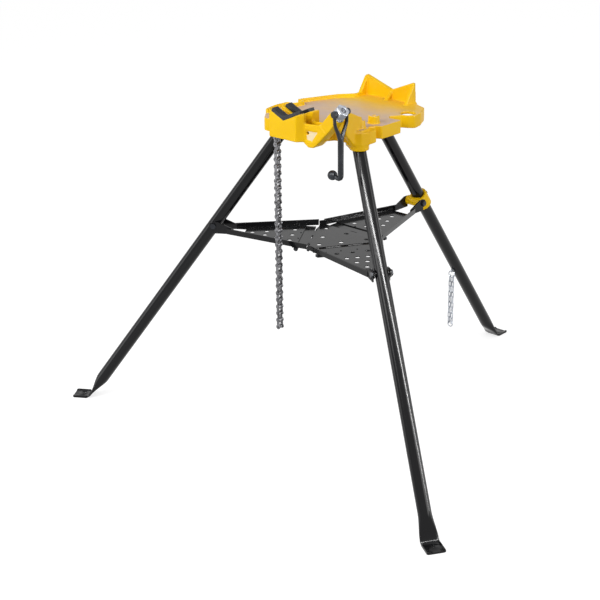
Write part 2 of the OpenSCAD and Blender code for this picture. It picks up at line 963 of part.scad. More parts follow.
module hub_knuckle(y) {
    y_rod(0, hinge_z, knuckle_r, y - 10, y + 10);
    translate([-8, y - 10, hinge_z])
        cube([5, 20, tray_z - hinge_z + 1]);
    translate([-8, y - 10, hinge_z - 1])
        cube([7, 20, 3]);
}

module hub_hinge_pins() {
    color(zinc)
        for (a = leg_angles)
            at_hinge(a) y_rod(0, hinge_z, hinge_pin_r, -hinge_pin_half, hinge_pin_half);
}

// Half width of an arm at x, for a given half width at its tip
function half_at(x, tip) =
    tip + (arm_root_half - tip) * (arm_end - x) / (arm_end - arm_start);

// Plan of an arm from x0 to x1, with its sides moved in by d
module arm_plan(x0, x1, tip, mid, d) {
    half = [for (x = [x0, x1]) half_at(x, tip) - d];
    polygon([
        [x0, mid * x0 / arm_end - half[0]], [x1, mid * x1 / arm_end - half[1]],
        [x1, mid * x1 / arm_end + half[1]], [x0, mid * x0 / arm_end + half[0]]
    ]);
}

module prong(y0, y1) {
    slab([
        [prong_start, tray_z], [arm_len, tray_z], [arm_len, bolt_z + prong_r],
        [arm_len - 14, bolt_z + prong_r], [prong_start, tray_z + tray_rim_h - 1]
    ], y0, y1);
    y_rod(arm_len, bolt_z, prong_r, y0, y1);
}

// Arm of the tray: a sheet with rims, and two prongs whose inner faces lie inner from the middle.
// The notch between the prongs clears the leg while the stand folds.
module tray_arm(a, inner, notch) {
    tip = inner + prong_t + 1;
    mid = -shift_of(a);
    color(black)
        at_hinge(a)
            difference() {
                union() {
                    translate([0, 0, tray_z])
                        linear_extrude(sheet_t) arm_plan(sheet_start, arm_end, tip, mid, 1);
                    difference() {
                        translate([0, 0, tray_z])
                            linear_extrude(tray_rim_h) arm_plan(arm_start, arm_end, tip, mid, 0);
                        translate([0, 0, tray_z - 1])
                            linear_extrude(tray_rim_h + 2)
                                arm_plan(arm_start - 1, arm_end + 1, tip, mid, prong_t);
                    }
                    prong(mid + inner - 0.5, mid + inner + prong_t);
                    prong(mid - inner - prong_t, mid - inner + 0.5);
                }
                for (row = drain_rows, y = row[1])
                    translate([row[0], y + mid * row[0] / arm_end, tray_z - 1])
                        cylinder(d = drain_d, h = sheet_t + 2);
                translate([arm_len - notch, mid - inner, tray_z - 1])
                    cube([notch + 20, 2 * inner, 60]);
                y_rod(arm_len, bolt_z, arm_bolt_r + fit, mid - 40, mid + 40);
                for (y = rivet_ys)
                    translate([rivet_x, y, tray_z - 1]) cylinder(r = 2, h = sheet_t + 2);
            }
}

module right_tray_arm() {
    tray_arm(right_a, prong_in, notch_len);
}

module left_tray_arm() {
    tray_arm(left_a, prong_in, notch_len);
}

module rear_tray_arm() {
    tray_arm(rear_a, rear_prong_in, rear_notch_len);
}

// Hinge leaf under an arm's root, rolled around the hinge pin and a stiffening rod
module arm_leaf(a) {
    color(black)
        at_hinge(a)
            difference() {
                union() {
                    translate([leaf_start, -leaf_half, tray_z - sheet_t])
                        cube([leaf_end - leaf_start, 2 * leaf_half, sheet_t]);
                    for (y = [-30, 30]) {
                        y_rod(0, hinge_z, knuckle_r, y - 19, y + 19);
                        translate([0, y - 19, hinge_z + 1])
                            cube([leaf_start + 2, 38, tray_z - hinge_z - 1]);
                    }
                    y_rod(leaf_rod_x, hinge_z, knuckle_r, -leaf_half, leaf_half);
                    for (y = rivet_ys)
                        translate([rivet_x, y, tray_z - 1]) cylinder(r = 2, h = sheet_t + 2.2);
                }
                y_rod(0, hinge_z, hinge_pin_r + fit, -120, 120);
                y_rod(leaf_rod_x, hinge_z, hinge_pin_r, -120, 120);
            }
}

module right_arm_leaf() {
    arm_leaf(right_a);
}

module left_arm_leaf() {
    arm_leaf(left_a);
}

module rear_arm_leaf() {
    arm_leaf(rear_a);
}

module leaf_rod(a) {
    color(zinc)
        at_hinge(a) y_rod(leaf_rod_x, hinge_z, hinge_pin_r, -leaf_half - 4, leaf_half + 4);
}

module right_leaf_rod() {
    leaf_rod(right_a);
}

module left_leaf_rod() {
    leaf_rod(left_a);
}

module rear_leaf_rod() {
    leaf_rod(rear_a);
}

module arm_bolts(a, inner) {
    color(zinc)
        placed()
            rotate([0, 0, a])
                translate([hinge_of(a) + arm_len, 0, bolt_z])
                    for (side = [-1, 1])
                        rotate([side * 90, 0, 0])
                            translate([0, 0, inner]) {
                                cylinder(r = arm_bolt_r, h = prong_t);
                                translate([0, 0, prong_t]) cylinder(r = 8, h = 5, $fn = 6);
                            }
}

module right_arm_bolts() {
    arm_bolts(right_a, prong_in);
}

module left_arm_bolts() {
    arm_bolts(left_a, prong_in);
}

module rear_arm_bolts() {
    arm_bolts(rear_a, rear_prong_in);
}

// ---- transport chain ----

module transport_eye() {
    color(zinc)
        placed()
            rotate([0, 0, rear_a])
                difference() {
                    union() {
                        y_rod(eye_r, eye_z, 5, -1.25, 1.25);
                        translate([eye_r + 3, 0, eye_z])
                            rotate([0, 90, 0]) cylinder(r = 2 - fit, h = 12);
                    }
                    y_rod(eye_r, eye_z, 2.6, -3, 3);
                }
}

// A link of round wire hanging in the plane square to +X, top wire at the origin
module wire_link() {
    bend = link_w / 2 - wire_r;
    straight = link_len - link_w;
    for (end = [0, 1])
        translate([0, 0, -bend - end * straight])
            rotate([0, end * 180, 0])
                rotate([90, 0, 90])
                    rotate_extrude(angle = 180)
                        translate([bend, 0]) circle(r = wire_r, $fn = 24);
    for (side = [-1, 1])
        translate([0, side * bend, -bend - straight])
            cylinder(r = wire_r, h = straight, $fn = 24);
}

module wire_ring(r) {
    rotate([90, 0, 90])
        rotate_extrude() translate([r, 0]) circle(r = ring_wire, $fn = 24);
}

module at_transport() {
    placed()
        rotate([0, 0, rear_a])
            translate([eye_r, 0, eye_z - 0.8]) children();
}

module transport_ring() {
    color(zinc) at_transport() translate([0, 0, -ring_r]) wire_ring(ring_r);
}

module transport_chain() {
    color(zinc)
        at_transport()
            for (side = [-1, 1], k = [0:strand_links - 1])
                translate([0, side * strand_y, strand_top - k * link_step])
                    rotate([0, 0, 90 - k % 2 * 90]) wire_link();
}

module transport_end_ring() {
    below = sqrt(end_ring_r * end_ring_r - strand_y * strand_y);
    color(zinc)
        at_transport()
            translate([0, 0, strand_end + hook - below]) wire_ring(end_ring_r);
}

base_casting();
front_jaw();
rear_jaw();
jaw_screws();
leg_pivot_pins();
leg_pivot_clips();
chain_screw();
screw_eye_pin();
seat_washer();
run_outer_plates();
run_inner_plates();
run_pins();
run_rollers();
chain_nut();
crank_pivot_pins();
crank_handle();
crank_ball();
chain_outer_plates();
chain_inner_plates();
chain_pins();
chain_rollers();
right_front_leg();
left_front_leg();
rear_leg();
right_pivot_sleeve();
left_pivot_sleeve();
rear_leg_collar();
collar_bolt();
tray_hub();
hub_hinge_pins();
right_tray_arm();
left_tray_arm();
rear_tray_arm();
right_arm_leaf();
left_arm_leaf();
rear_arm_leaf();
right_leaf_rod();
left_leaf_rod();
rear_leaf_rod();
right_arm_bolts();
left_arm_bolts();
rear_arm_bolts();
transport_eye();
transport_ring();
transport_chain();
transport_end_ring();
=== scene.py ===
import json
import math

import bmesh
import bpy
from bpy.props import FloatProperty, FloatVectorProperty, PointerProperty
from bpy.types import Operator, Panel, PropertyGroup
from mathutils import Matrix, Vector


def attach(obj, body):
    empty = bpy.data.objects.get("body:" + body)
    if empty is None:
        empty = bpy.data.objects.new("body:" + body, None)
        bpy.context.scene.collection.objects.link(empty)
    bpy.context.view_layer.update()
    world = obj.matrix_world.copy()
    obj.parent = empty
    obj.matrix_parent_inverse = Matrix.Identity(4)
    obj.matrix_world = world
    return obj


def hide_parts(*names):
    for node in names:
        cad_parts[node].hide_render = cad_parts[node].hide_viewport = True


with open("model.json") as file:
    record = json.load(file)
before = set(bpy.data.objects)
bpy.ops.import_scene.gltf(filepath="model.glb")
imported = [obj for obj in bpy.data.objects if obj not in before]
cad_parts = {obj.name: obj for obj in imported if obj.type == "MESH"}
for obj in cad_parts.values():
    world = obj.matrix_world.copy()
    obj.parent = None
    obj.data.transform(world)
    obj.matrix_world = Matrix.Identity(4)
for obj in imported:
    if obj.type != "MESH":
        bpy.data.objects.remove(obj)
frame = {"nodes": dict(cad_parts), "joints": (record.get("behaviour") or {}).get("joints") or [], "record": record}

bl_info = {
    "name": "Tripod Pipe Vise Stand",
    "version": (1, 0, 0),
    "blender": (4, 5, 0),
    "location": "View3D > Sidebar > Pipe Stand",
    "description": "Builds the finishes and fine pieces of a folding tripod pipe vise stand",
    "category": "Add Mesh",
}

NODES = frame["nodes"]
JOINTS = {j["name"]: j for j in frame["joints"]}
SIDES = ("right", "left", "rear")
MM = 0.001


def joint_at(name):
    return Vector(JOINTS[name]["pos_m"])


# The stand's centre line, from the pivot of the rear leg, which is 142 mm behind it
PIVOT_R = 142 * MM
AXIS_Y = joint_at("rear_leg_fold").y - PIVOT_R
CHAIN_Y = joint_at("chain_swing").y
TABLE_Z = 850 * MM
NUT = joint_at("crank_swing")

# Floor of the pocket in the screw's arm: the middle of its X and Z, its half size, and its Y
POCKET = (74 * MM, 841 * MM)
POCKET_REACH = 23 * MM
POCKET_Y = CHAIN_Y - 15.8 * MM

# Level faces of the table's posts, which take the painted sheen, and the least X at which they lie
POST_Z = TABLE_Z + 20 * MM
POST_X = 100 * MM

# Sizes of the legs and the tray. A rim leans out by ROOT_LEAN at its arm's root, and by
# MORE_LEAN more from LEAN_FROM outwards.
TUBE_R = 16.85 * MM
TUBE_IN = 14.25 * MM
LEG_TOP = 12 * MM
FLARE = 75 * MM
FOOT_R = 721 * MM
FOOT_HALF = 23.5 * MM
FOOT_LEN = 44 * MM
FOOT_T = 5 * MM
HOLE_OUT = 15 * MM
HOLE_R = 4 * MM
TRAY_Z = 514.5 * MM
SHEET_T = 2.5 * MM
RIM_H = 15 * MM
ROOT_LEAN = 3 * MM
MORE_LEAN = 5 * MM
LEAN_FROM = 60 * MM
ARM_END = 230.9 * MM


# ---- settings ----

class StandColours(PropertyGroup):
    yellow: FloatVectorProperty(
        name="Yellow enamel", description="Colour of the cast table and the collar",
        subtype="COLOR", size=3, min=0, max=1, default=(0.97, 0.55, 0.003))
    # Painted sheen: the pale colour laid on the table's flat top and the posts' tops in place of a reflection
    top_sheen: FloatVectorProperty(
        name="Table top", description="Colour of the table's flat top",
        subtype="COLOR", size=3, min=0, max=1, default=(0.60, 0.44, 0.35))
    pocket_floor: FloatVectorProperty(
        name="Pocket floor", description="Colour of the pale pocket in the screw's arm",
        subtype="COLOR", size=3, min=0, max=1, default=(0.92, 0.80, 0.55))
    black: FloatVectorProperty(
        name="Black enamel", description="Colour of the legs and the tray",
        subtype="COLOR", size=3, min=0, max=1, default=(0.0065, 0.0065, 0.0075))
    forged: FloatVectorProperty(
        name="Black oxide", description="Colour of the jaws and the crank",
        subtype="COLOR", size=3, min=0, max=1, default=(0.016, 0.018, 0.022))
    chain: FloatVectorProperty(
        name="Chain steel", description="Colour of the vise chain",
        subtype="COLOR", size=3, min=0, max=1, default=(0.20, 0.20, 0.21))
    zinc: FloatVectorProperty(
        name="Zinc plate", description="Colour of the plated nuts, bolts and the thin chain",
        subtype="COLOR", size=3, min=0, max=1, default=(0.42, 0.44, 0.48))


class StageSizes(PropertyGroup):
    camera_distance: FloatProperty(
        name="Camera distance", description="Level distance from the stand's centre line",
        subtype="DISTANCE", unit="LENGTH", min=1, max=8, default=3.649)
    camera_height: FloatProperty(
        name="Camera height", description="Height of the camera above the floor",
        subtype="DISTANCE", unit="LENGTH", min=0.2, max=4, default=1.8064)
    camera_side: FloatProperty(
        name="Camera side", description="Direction of the camera around the stand",
        subtype="ANGLE", min=-math.pi, max=math.pi, default=math.radians(40.7705))
    camera_down: FloatProperty(
        name="Camera tilt", description="Angle by which the camera looks down",
        subtype="ANGLE", min=0, max=math.pi / 2, default=math.radians(21.9581))
    camera_pan: FloatProperty(
        name="Camera pan", description="Turn of the camera past the centre line",
        subtype="ANGLE", min=-0.5, max=0.5, default=math.radians(-1.7208))
    camera_roll: FloatProperty(
        name="Camera roll", description="Roll of the camera about its view",
        subtype="ANGLE", min=-0.5, max=0.5, default=math.radians(-0.5582))
    lens: FloatProperty(
        name="Lens", description="Focal length in millimetres on a 36 mm sensor",
        min=20, max=300, default=87.989)


def colours():
    return bpy.context.scene.stand_colours


def stage_sizes():
    return bpy.context.scene.stand_stage


# ---- materials ----

class Shader:
    """A node material with short calls to add and join nodes."""

    def __init__(self, name, colour, roughness, metallic=0.0, specular=0.5):
        self.material = bpy.data.materials.new(name)
        self.material.use_nodes = True
        self.tree = self.material.node_tree
        self.bsdf = self.tree.nodes["Principled BSDF"]
        self.material.diffuse_color = (*colour, 1)
        self.bsdf.inputs["Base Color"].default_value = (*colour, 1)
        self.bsdf.inputs["Roughness"].default_value = roughness
        self.bsdf.inputs["Metallic"].default_value = metallic
        self.bsdf.inputs["Specular IOR Level"].default_value = specular
        self.coords = self.tree.nodes.new("ShaderNodeTexCoord").outputs["Object"]

    def node(self, kind, **values):
        node = self.tree.nodes.new(kind)
        for name, value in values.items():
            setattr(node, name, value)
        return node

    def join(self, output, target):
        self.tree.links.new(output, target)

    def noise(self, scale, detail=3.0, roughness=0.55):
        node = self.node("ShaderNodeTexNoise")
        node.inputs["Scale"].default_value = scale
        node.inputs["Detail"].default_value = detail
        node.inputs["Roughness"].default_value = roughness
        self.join(self.coords, node.inputs["Vector"])
        return node.outputs["Fac"]

    def place(self):
        node = self.node("ShaderNodeSeparateXYZ")
        self.join(self.coords, node.inputs["Vector"])
        return node.outputs

    def facing(self):
        node = self.node("ShaderNodeSeparateXYZ")
        self.join(self.node("ShaderNodeNewGeometry").outputs["Normal"], node.inputs["Vector"])
        return node.outputs

    def span(self, value, low, high, to_low, to_high):
        node = self.node("ShaderNodeMapRange")
        self.join(value, node.inputs["Value"])
        for name, number in (("From Min", low), ("From Max", high),
                             ("To Min", to_low), ("To Max", to_high)):
            node.inputs[name].default_value = number
        return node.outputs["Result"]

    def maths(self, operation, a, b):
        node = self.node("ShaderNodeMath", operation=operation)
        for socket, value in zip(node.inputs, (a, b)):
            if isinstance(value, (int, float)):
                socket.default_value = value
            else:
                self.join(value, socket)
        return node.outputs[0]

    def near(self, value, middle, reach):
        """1 where the value lies within reach of the middle, else 0."""
        away = self.maths("ABSOLUTE", self.maths("SUBTRACT", value, middle), 0.0)
        return self.maths("LESS_THAN", away, reach)

    def mix(self, share, a, b):
        node = self.node("ShaderNodeMix", data_type="RGBA")
        self.join(share, node.inputs["Factor"])
        for name, value in ((6, a), (7, b)):
            if isinstance(value, tuple):
                node.inputs[name].default_value = (*value, 1)
            else:
                self.join(value, node.inputs[name])
        return node.outputs[2]

    def colour(self, output):
        self.join(output, self.bsdf.inputs["Base Color"])

    def rough(self, output):
        self.join(output, self.bsdf.inputs["Roughness"])

    def bump(self, height, strength, distance):
        node = self.node("ShaderNodeBump")
        node.inputs["Strength"].default_value = strength
        node.inputs["Distance"].default_value = distance
        self.join(height, node.inputs["Height"])
        self.join(node.outputs["Normal"], self.bsdf.inputs["Normal"])

    def coat(self, weight, roughness):
        self.bsdf.inputs["Coat Weight"].default_value = weight
        self.bsdf.inputs["Coat Roughness"].default_value = roughness


def shade(colour, factor):
    """A colour made darker or lighter."""
    return tuple(min(1.0, c * factor) for c in colour)


def casting_enamel():
    """Glossy yellow enamel over a sand casting, with a painted pale sheen on the level top and on the posts' tops,
    and a pale pocket floor.
    """
    c = colours()
    s = Shader("Casting enamel", tuple(c.yellow), 0.5, specular=0.1)
    s.coat(0.04, 0.15)
    place, facing = s.place(), s.facing()
    patches = s.span(s.noise(9.0), 0.3, 0.7, 0.0, 1.0)
    yellow = s.mix(patches, shade(c.yellow, 0.94), (c.yellow[0], c.yellow[1] * 1.12, c.yellow[2]))
    # Painted sheen on the level top, broken into patches and fading out towards the rear
    level = s.maths("MULTIPLY", s.near(place["Z"], TABLE_Z, 2 * MM),
                    s.span(facing["Z"], 0.85, 0.97, 0.0, 1.0))
    sheen_patches = s.span(s.noise(13.0, 4.0), 0.28, 0.6, 0.6, 1.0)
    rearward = s.span(place["Y"], AXIS_Y + 40 * MM, AXIS_Y + 150 * MM, 1.0, 0.12)
    top = s.maths("MULTIPLY", s.maths("MULTIPLY", level, sheen_patches), rearward)
    inside = s.maths("MULTIPLY", s.near(place["X"], POCKET[0], POCKET_REACH),
                     s.near(place["Z"], POCKET[1], POCKET_REACH))
    inside = s.maths("MULTIPLY", inside, s.near(place["Y"], POCKET_Y, 0.3 * MM))
    pocket = s.maths("MULTIPLY", inside, s.span(facing["Y"], -0.9, -0.98, 0.0, 0.9))
    # Painted sheen on the posts' level tops
    post = s.maths("MULTIPLY", s.near(place["Z"], POST_Z, 1.5 * MM),
                   s.maths("MULTIPLY", s.span(facing["Z"], 0.85, 0.97, 0.0, 0.9),
                           s.maths("GREATER_THAN", place["X"], POST_X)))
    share = s.maths("MAXIMUM", top, s.maths("MAXIMUM", post, pocket))
    # Pale colour: the painted sheen, with the pale pocket floor inside the pocket
    pale = s.mix(pocket, tuple(c.top_sheen), tuple(c.pocket_floor))
    s.colour(s.mix(share, yellow, pale))
    s.rough(s.span(s.noise(60.0), 0.3, 0.7, 0.34, 0.48))
    s.bump(s.noise(420.0, 4.0), 0.25, 0.0006)
    return s.material


def black_enamel():
    """Semi-gloss black enamel on drawn tube and pressed sheet."""
    s = Shader("Black enamel", tuple(colours().black), 0.2, specular=0.2)
    s.rough(s.span(s.noise(35.0), 0.3, 0.7, 0.11, 0.16))
    s.bump(s.noise(700.0, 2.0), 0.03, 0.0003)
    return s.material


def black_oxide():
    """Blackened forging, a little rubbed."""
    c = colours()
    s = Shader("Black oxide", tuple(c.forged), 0.36, 0.3, specular=0.3)
    rub = s.span(s.noise(55.0, 5.0), 0.52, 0.75, 0.0, 1.0)
    s.colour(s.mix(rub, tuple(c.forged), shade(c.forged, 2.4)))
    s.rough(s.span(s.noise(120.0), 0.3, 0.7, 0.28, 0.46))
    s.bump(s.noise(500.0, 3.0), 0.2, 0.0005)
    return s.material


def chain_steel():
    """Oiled bright steel with dark oil in random patches."""
    c = colours()
    s = Shader("Chain steel", tuple(c.chain), 0.3, 0.85)
    oil = s.span(s.noise(150.0, 4.0), 0.42, 0.62, 0.0, 1.0)
    s.colour(s.mix(oil, tuple(c.chain), shade(c.chain, 0.25)))
    s.rough(s.span(s.noise(300.0), 0.3, 0.7, 0.32, 0.52))
    return s.material


def zinc_plate():
    """Bright zinc plate with faint clouding."""
    c = colours()
    s = Shader("Zinc plate", tuple(c.zinc), 0.26, 0.95)
    cloud = s.span(s.noise(90.0, 3.0), 0.35, 0.65, 0.0, 1.0)
    s.colour(s.mix(cloud, tuple(c.zinc), shade(c.zinc, 0.7)))
    s.rough(s.span(s.noise(200.0), 0.3, 0.7, 0.3, 0.46))
    return s.material


FINISHES = {
    "yellow_paint": casting_enamel, "black_paint": black_enamel, "black_iron": black_oxide,
    "chain_steel": chain_steel, "zinc_plate": zinc_plate,
}
# Endings of the names of the fasteners that are blackened
BLACKENED = ("_arm_bolts", "_leaf_rod", "hinge_pins", "collar_bolt")
made = {}


def finish(slot):
    """The material of one of the record's slots, made once."""
    if slot not in made:
        made[slot] = FINISHES[slot]()
    return made[slot]


def slot_of(node):
    for part in frame["record"]["subparts"]:
        if part["node"] == node:
            return part["material_slot"]
    raise ValueError(f"no material slot for {node}")


def body_of(node):
    for body, members in frame["record"]["behaviour"]["bodies"].items():
        if node in members:
            return body
    raise ValueError(f"no body holds {node}")


# ---- pieces ----

def new_piece(name, mesh, *nodes):
    """Adds a finished mesh to the scene in place of nodes of the frame."""
    piece = bpy.data.objects.new(name, mesh)
    bpy.context.scene.collection.objects.link(piece)
    piece.data.materials.clear()
    piece.data.materials.append(finish(slot_of(nodes[0])))
    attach(piece, body_of(nodes[0]))
    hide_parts(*nodes)
    return piece


def mesh_of(name, shape, smooth_angle=None):
    """Ends a bmesh as a mesh with outward faces, smooth up to an angle."""
    bmesh.ops.recalc_face_normals(shape, faces=shape.faces)
    mesh = bpy.data.meshes.new(name)
    shape.to_mesh(mesh)
    shape.free()
    for face in mesh.polygons:
        face.use_smooth = True
    if smooth_angle is not None:
        mesh.set_sharp_from_angle(angle=math.radians(smooth_angle))
    return mesh


def copy_of(node):
    """A node's shape as a bmesh with its doubles merged."""
    shape = bmesh.new()
    shape.from_mesh(NODES[node].data)
    bmesh.ops.remove_doubles(shape, verts=shape.verts, dist=1e-6)
    return shape


def softened(name, shape, node, voxel, rounds, most=190000):
    """A shape with the rounded edges and fillets of a casting or a forging."""
    mesh = bpy.data.meshes.new(name + "_rough")
    shape.to_mesh(mesh)
    shape.free()
    rough = bpy.data.objects.new(name + "_rough", mesh)
    bpy.context.scene.collection.objects.link(rough)
    remesh = rough.modifiers.new("Remesh", "REMESH")
    remesh.mode = "VOXEL"
    remesh.voxel_size = voxel
    smooth = rough.modifiers.new("Smooth", "SMOOTH")
    smooth.factor = 0.5
    smooth.iterations = rounds
    ready = rough.evaluated_get(bpy.context.evaluated_depsgraph_get())
    count = sum(len(p.vertices) - 2 for p in ready.to_mesh().polygons)
    ready.to_mesh_clear()
    if count > most:
        thin = rough.modifiers.new("Thin", "DECIMATE")
        thin.ratio = most / count
    bpy.context.view_layer.update()
    ready = rough.evaluated_get(bpy.context.evaluated_depsgraph_get())
    final = bpy.data.meshes.new_from_object(ready)
    final.name = name
    bpy.data.objects.remove(rough)
    for face in final.polygons:
        face.use_smooth = True
    return new_piece(name, final, node)


def eased(name, shape, node, width, angle=35):
    """A pressed or machined shape with its sharp edges broken by a small round."""
    bmesh.ops.dissolve_limit(
        shape, angle_limit=math.radians(1), verts=shape.verts, edges=shape.edges)
    sharp = [e for e in shape.edges
             if len(e.link_faces) == 2 and e.calc_face_angle(0) > math.radians(angle)]
    bmesh.ops.bevel(shape, geom=sharp, offset=width, offset_type="OFFSET", segments=2,
                    profile=0.5, affect="EDGES", clamp_overlap=True, material=-1)
    piece = new_piece(name, mesh_of(name, shape, 40), node)
    weighted = piece.modifiers.new("Weighted normals", "WEIGHTED_NORMAL")
    weighted.weight = 100
    weighted.keep_sharp = True
    return piece


def loft(shape, rings, closed=False):
    """Bridges rings of equally many points into a wall, and caps its ends unless closed."""
    loops = []
    for points in rings:
        made_ring = bmesh.ops.create_circle(shape, segments=len(points), radius=1)["verts"]
        for vert, point in zip(made_ring, points):
            vert.co = point
        loops.append(made_ring)
    shape.edges.index_update()
    edge_loops = [list({e for v in ring for e in v.link_edges}) for ring in loops]
    pairs = list(zip(edge_loops, edge_loops[1:]))
    if closed:
        pairs.append((edge_loops[-1], edge_loops[0]))
    for a, b in pairs:
        bmesh.ops.bridge_loops(shape, edges=a + b)
    if not closed:
        for ring in (loops[0], loops[-1]):
            shape.faces.new(ring)


def rod_along(shape, path, count=20):
    """A rod through points, each with a half width across and one square to that and the path."""
    rings = []
    for i, (point, across, wide, thick) in enumerate(path):
        ahead = (Vector(path[min(i + 1, len(path) - 1)][0])
                 - Vector(path[max(i - 1, 0)][0])).normalized()
        side = (Vector(across) - ahead * ahead.dot(Vector(across))).normalized()
        other = ahead.cross(side)
        rings.append([
            Vector(point) + side * wide * math.cos(t) + other * thick * math.sin(t)
            for t in (2 * math.pi * k / count for k in range(count))])
    loft(shape, rings)


# ---- legs ----

def leg_frame(side):
    """The leg's pivot, the level direction outwards and the direction down the tube."""
    pivot = joint_at(f"{side}_leg_fold")
    out = (pivot - Vector((0, AXIS_Y, pivot.z))).normalized()
    foot = Vector((0, AXIS_Y, 0)) + out * FOOT_R
    return pivot, out, (foot - pivot).normalized(), (foot - pivot).length


def flattened(share, t):
    """Point at angle t of a section between a round tube and a flat foot."""
    wide = TUBE_R + (FOOT_HALF - TUBE_R) * share
    thick = TUBE_R + (FOOT_T / 2 - TUBE_R) * share
    square = 1 - 0.55 * share
    c, s = math.cos(t), math.sin(t)
    x = math.copysign(abs(c) ** square, c) * wide
    return x, math.copysign(abs(s) ** square, s) * thick


def leg_section(centre, level, up, share, count=32):
    """A ring of points around the tube or the flat foot, or between the two."""
    points = []
    for k in range(count):
        x, y = flattened(share, 2 * math.pi * (k + 0.5) / count)
        points.append(centre + level * x + up * y)
    return points


def pad_loop(middle, out, level, height, raised, shrink, count=48):
    """A rectangle of points around the foot's hole, raised towards its two sides."""
    half_out, half_side = FOOT_LEN - HOLE_OUT - shrink, FOOT_HALF - shrink
    points = []
    for k in range(count):
        t = 2 * math.pi * (k + 0.5) / count
        c, s = math.cos(t), math.sin(t)
        reach = min((half_out if c > 0 else HOLE_OUT - 2 * MM) / max(abs(c), 1e-6),
                    half_side / max(abs(s), 1e-6))
        x, y = reach * c, reach * s
        side = min(max((abs(y) - FOOT_HALF + 9 * MM) / (5 * MM), 0), 1)
        points.append(middle + out * x + level * y + Vector((0, 0, height + raised * side)))
    return points


def leg_node(side):
    return "rear_leg" if side == "rear" else f"{side}_front_leg"


def ring_points(middle, radius, height, count=48):
    """A level circle of points."""
    points = []
    for k in range(count):
        t = 2 * math.pi * (k + 0.5) / count
        points.append(middle + Vector((radius * math.cos(t), radius * math.sin(t), height)))
    return points


def turned(points, middle, out, level):
    """Sorts a ring's points by their angle around the hole, from the outward side."""
    def angle(p):
        d = p - middle
        return math.atan2(d.dot(level), d.dot(out)) % (2 * math.pi)
    return sorted(points, key=angle)


def build_leg(side):
    """A tube that flattens into a bent foot with a hole, and is open at its top."""
    pivot, out, down, length = leg_frame(side)
    level = Vector((0, 0, 1)).cross(out)
    up = level.cross(down).normalized()
    if up.z < 0:
        up.negate()
    shape = bmesh.new()
    start = pivot - down * LEG_TOP
    flat_from = length - FLARE
    outer = [leg_section(start, level, up, 0), leg_section(pivot + down * 200 * MM, level, up, 0),
             leg_section(pivot + down * flat_from, level, up, 0)]
    for step in range(1, 9):
        t = step / 8
        share = t * t * (3 - 2 * t)
        centre = pivot + down * (flat_from + (FLARE - 9 * MM) * t)
        outer.append(leg_section(centre, level, up, share))
    bend = Vector((0, AXIS_Y, FOOT_T / 2)) + out * (FOOT_R + 3 * MM)
    outer.append(leg_section(bend, level, (up + Vector((0, 0, 1))).normalized(), 1))
    outer.append(leg_section(bend + out * 9 * MM, level, Vector((0, 0, 1)), 1))
    inner = []
    for depth in (0, 40 * MM):
        ring = leg_section(start + down * depth, level, up, 0)
        centre = start + down * depth
        inner.append([centre + (p - centre) * (TUBE_IN / TUBE_R) for p in ring])
    loft(shape, list(reversed(inner)) + outer)
    hole = Vector((0, AXIS_Y, 0)) + out * (FOOT_R + HOLE_OUT)
    rings = [
        pad_loop(hole, out, level, 0, 0, 1 * MM),
        pad_loop(hole, out, level, 1 * MM, 0, 0),
        pad_loop(hole, out, level, FOOT_T - 1.6 * MM, 3 * MM, 0),
        pad_loop(hole, out, level, FOOT_T - 1 * MM, 3 * MM, 1 * MM),
        pad_loop(hole, out, level, FOOT_T - 1 * MM, 2.4 * MM, 3 * MM),
        pad_loop(hole, out, level, FOOT_T - 1 * MM, 0.2 * MM, 6 * MM),
        ring_points(hole, HOLE_R + 5.5 * MM, FOOT_T - 1 * MM),
        ring_points(hole, HOLE_R + 4 * MM, FOOT_T),
        ring_points(hole, HOLE_R + 0.8 * MM, FOOT_T),
        ring_points(hole, HOLE_R, FOOT_T - 1 * MM),
        ring_points(hole, HOLE_R, 0),
    ]
    rings = [turned(ring, hole, out, level) for ring in rings]
    loft(shape, rings, closed=True)
    return new_piece(f"{side}_leg_tube", mesh_of(f"{side}_leg_tube", shape, 35), leg_node(side))


class STAND_OT_legs(Operator):
    """Make the three tube legs with their flattened feet"""
    bl_idname = "stand.legs"
    bl_label = "Legs"

    def execute(self, context):
        for side in SIDES:
            build_leg(side)
        return {"FINISHED"}


# ---- tray ----

def flared_arm(side):
    """A tray arm with its rims leaning outwards and its edges rounded."""
    node = f"{side}_tray_arm"
    shape = copy_of(node)
    out = leg_frame(side)[1]
    hinge = joint_at(f"{side}_arm_fold")
    level = Vector((0, 0, 1)).cross(out)
    points = [(v, (v.co - hinge).dot(out), (v.co - hinge).dot(level)) for v in shape.verts]
    far = [y for v, x, y in points if x > ARM_END + 20 * MM]
    near = [y for v, x, y in points if x < 10 * MM]
    bolt_shift = (min(far) + max(far)) / 2
    root_shift = (min(near) + max(near)) / 2
    for vert, x, y in points:
        high = vert.co.z - (TRAY_Z + SHEET_T)
        if high > 1 * MM and x < ARM_END - 25 * MM:
            middle = root_shift + (bolt_shift - root_shift) * x / ARM_END
            full = ROOT_LEAN + MORE_LEAN * min(x / LEAN_FROM, 1)
            lean = full * high / (RIM_H - SHEET_T)
            vert.co += level * math.copysign(lean, y - middle)
    return eased(f"{side}_tray_sheet", shape, node, 0.7 * MM)


class STAND_OT_tray(Operator):
    """Make the tray's hub and its three arms"""
    bl_idname = "stand.tray"
    bl_label = "Tray"

    def execute(self, context):
        for side in SIDES:
            flared_arm(side)
            eased(f"{side}_hinge_leaf", copy_of(f"{side}_arm_leaf"), f"{side}_arm_leaf", 0.5 * MM)
        eased("hub_sheet", copy_of("tray_hub"), "tray_hub", 0.6 * MM)
        return {"FINISHED"}


# ---- castings and forgings ----

